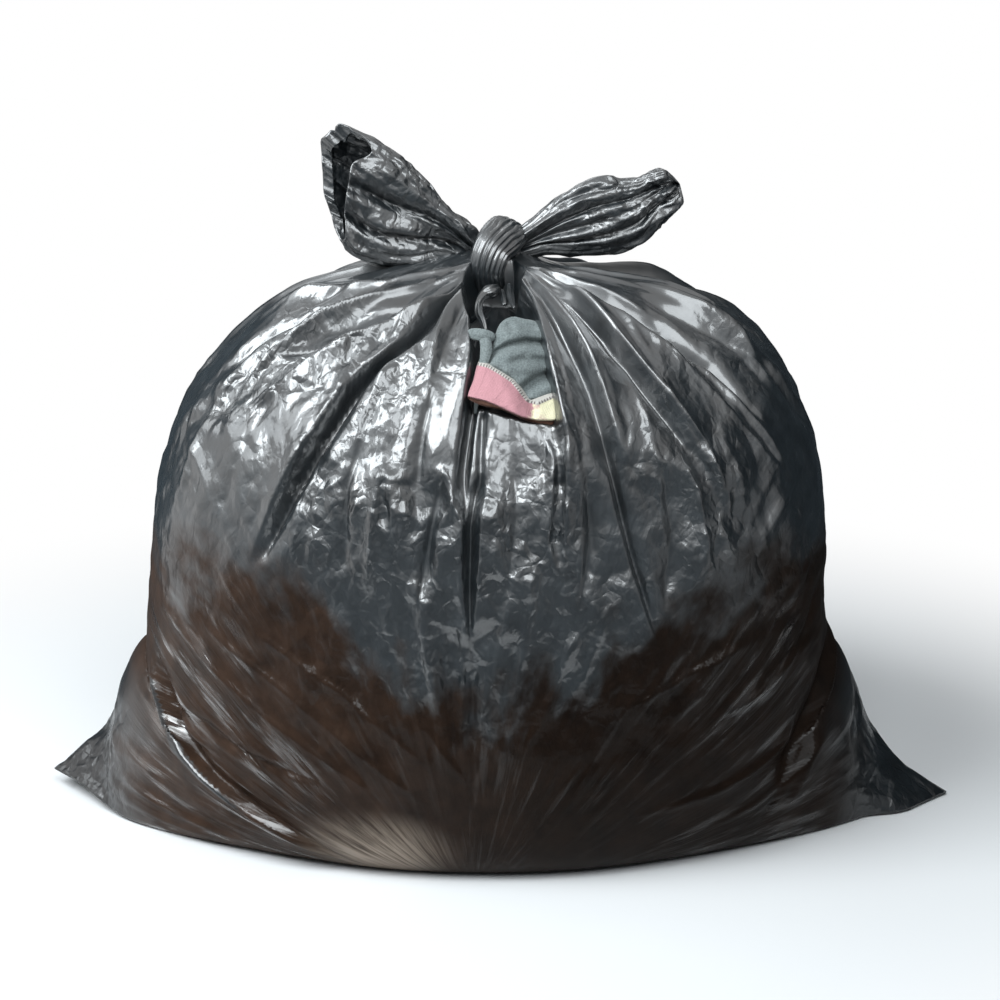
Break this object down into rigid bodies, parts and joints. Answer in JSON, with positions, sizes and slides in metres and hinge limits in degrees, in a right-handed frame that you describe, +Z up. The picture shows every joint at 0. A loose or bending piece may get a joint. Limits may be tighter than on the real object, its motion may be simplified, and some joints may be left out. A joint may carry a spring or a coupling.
{
  "type": "full bin bag",
  "caption": "Full, knotted refuse sack of thin black film with free ends above the knot and a garment cuff showing in the gap below it.",
  "frame": {"origin": "on the ground, at the middle of the sack's underside, below the knot", "axes": "+Z up, -Y towards the front where the garment shows, X from one sealed bottom corner to the other"},
  "size_m": [0.6846, 0.4258, 0.5281],
  "materials": {
    "sack_film": "thin blown polyethylene film, black, creased, with a soft gloss",
    "sleeve_knit": "grey heather jersey knit, brushed",
    "cuff_rib": "rib knit band, pink turning to cream along its length"
  },
  "bodies": {
    "root": {"refuse_sack": "sack_film", "garment_sleeve": "sleeve_knit", "garment_cuff": "cuff_rib"}
  },
  "joints": []
}
